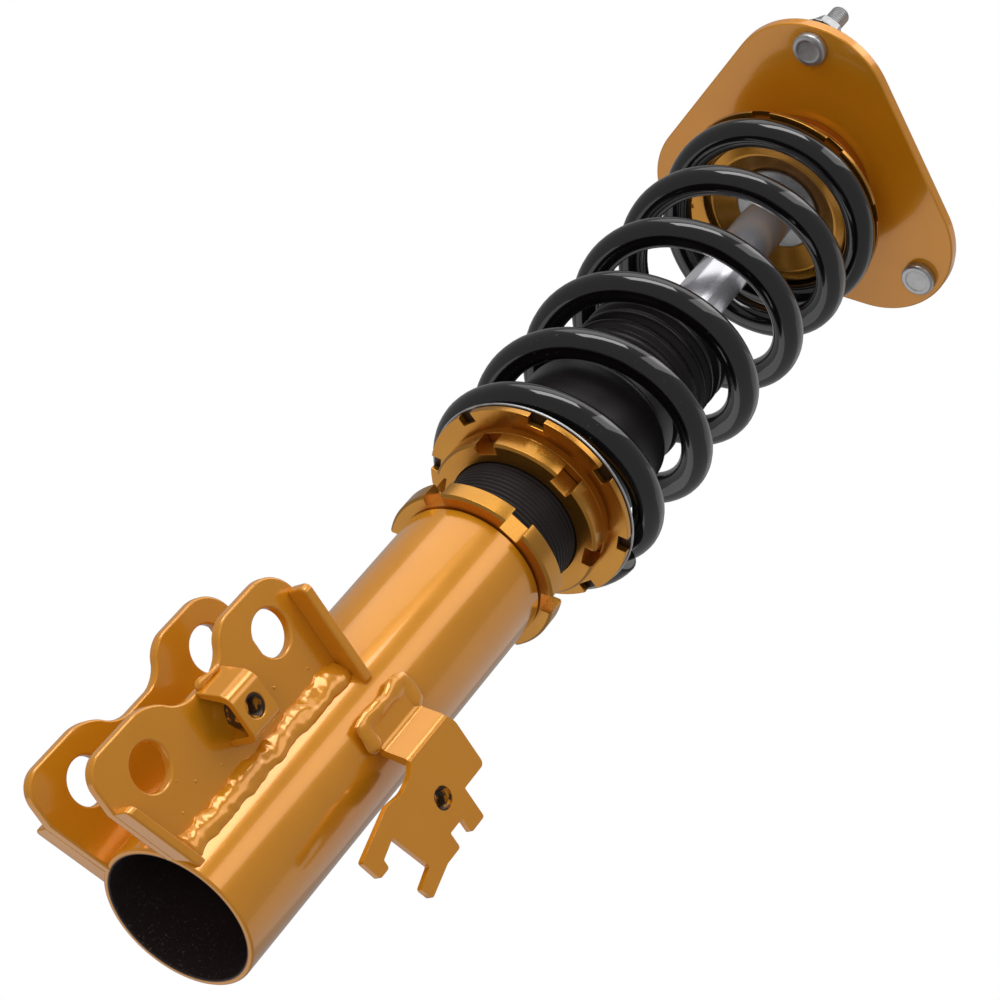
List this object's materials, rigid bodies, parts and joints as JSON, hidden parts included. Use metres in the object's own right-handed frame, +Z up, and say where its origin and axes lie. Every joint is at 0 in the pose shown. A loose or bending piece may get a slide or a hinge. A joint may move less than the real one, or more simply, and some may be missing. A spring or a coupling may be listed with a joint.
{
  "type": "strut coilover",
  "caption": "Strut coilover with a two-ear knuckle bracket, threaded damper body, adjustable spring perch, coil spring and swivelling three-stud top plate.",
  "frame": {"origin": "on the strut's axis, in the plane of the bracket tube's open foot", "axes": "+Z up the strut's axis towards the top plate; the knuckle ears stand out towards -X, with their plates parallel to the XZ plane"},
  "size_m": [0.1361, 0.1309, 0.5083],
  "materials": {
    "gold_paint": "semi-gloss gold-orange paint",
    "gold_anodised": "satin gold anodising with bright machined chamfers",
    "spring_paint": "gloss black powder coat",
    "black_steel": "black oxide, slightly brown",
    "black_rubber": "satin moulded rubber",
    "polished_chrome": "hard chrome, ground and polished",
    "zinc_plate": "mottled bright zinc plating",
    "plain_steel": "oiled turned steel",
    "seal_rubber": "dull brown-black nitrile",
    "bump_foam": "matt cellular polyurethane",
    "band_plastic": "matt filled plastic"
  },
  "bodies": {
    "bracket": {"bracket_tube": "gold_paint", "knuckle_ear_near": "gold_paint", "knuckle_ear_far": "gold_paint", "ear_weld_near": "gold_paint", "ear_weld_far": "gold_paint", "hose_bracket": "gold_paint", "hose_weld_nut": "gold_paint", "sensor_bracket": "gold_paint", "sensor_weld_nut": "gold_paint"},
    "bracket_ring": {"bracket_lock_ring": "gold_anodised"},
    "damper": {"damper_body": "black_steel", "body_end_cap": "black_steel", "base_valve": "plain_steel", "pressure_tube": "plain_steel", "rod_guide": "plain_steel", "oil_seal": "seal_rubber", "gland_nut": "black_steel", "bump_stop": "bump_foam", "dust_boot": "black_rubber"},
    "spring_carrier": {"perch_washer": "zinc_plate", "coil_spring": "spring_paint"},
    "perch": {"spring_perch": "gold_anodised"},
    "perch_ring": {"perch_lock_ring": "gold_anodised"},
    "rod": {"piston_rod": "polished_chrome", "rebound_stop": "plain_steel", "piston": "plain_steel", "piston_band": "band_plastic", "piston_nut": "plain_steel", "rod_washer": "zinc_plate", "upper_spring_seat": "gold_anodised", "top_washer": "zinc_plate", "top_nut": "zinc_plate"},
    "ball": {"bearing_ball": "polished_chrome"},
    "top_mount": {"bearing_race": "plain_steel", "bearing_housing": "gold_anodised", "snap_ring": "black_steel", "top_plate": "gold_paint", "plate_stud_1": "zinc_plate", "plate_stud_2": "zinc_plate", "plate_stud_3": "zinc_plate", "serrated_washer_1": "black_steel", "serrated_washer_2": "black_steel", "serrated_washer_3": "black_steel", "flange_nut_1": "zinc_plate", "flange_nut_2": "zinc_plate", "flange_nut_3": "zinc_plate"}
  },
  "joints": [
    {"name": "bracket_ring_spin", "type": "hinge", "parent": "bracket", "child": "bracket_ring", "pos_m": [0, 0, 0.1917], "axis": [0, 0, 1], "continuous": true},
    {"name": "ride_height", "type": "slide", "parent": "bracket", "child": "damper", "axis": [0, 0, 1], "range_m": [-0.01, 0.05]},
    {"name": "perch_height", "type": "slide", "parent": "damper", "child": "spring_carrier", "axis": [0, 0, 1], "range_m": [-0.006, 0]},
    {"name": "perch_spin", "type": "hinge", "parent": "spring_carrier", "child": "perch", "pos_m": [0, 0, 0.2305], "axis": [0, 0, 1], "range_deg": [-1080, 0]},
    {"name": "perch_ring_spin", "type": "hinge", "parent": "perch", "child": "perch_ring", "pos_m": [0, 0, 0.2237], "axis": [0, 0, 1], "continuous": true},
    {"name": "damper_stroke", "type": "slide", "parent": "damper", "child": "rod", "axis": [0, 0, 1], "range_m": [-0.09, 0], "stiffness_N_per_m": 58800, "springref_m": 0.003, "deforming": ["coil_spring"]},
    {"name": "mount_swivel", "type": "hinge", "parent": "rod", "child": "ball", "pos_m": [0, 0, 0.47], "axis": [0, 0, 1], "continuous": true},
    {"name": "mount_tilt", "type": "hinge", "parent": "ball", "child": "top_mount", "pos_m": [0, 0, 0.47], "axis": [0, 1, 0], "range_deg": [-8, 8]}
  ],
  "couplings": [
    {"joint": "perch_spin", "follows": "perch_height", "rad_per_m": 3141.6}
  ]
}
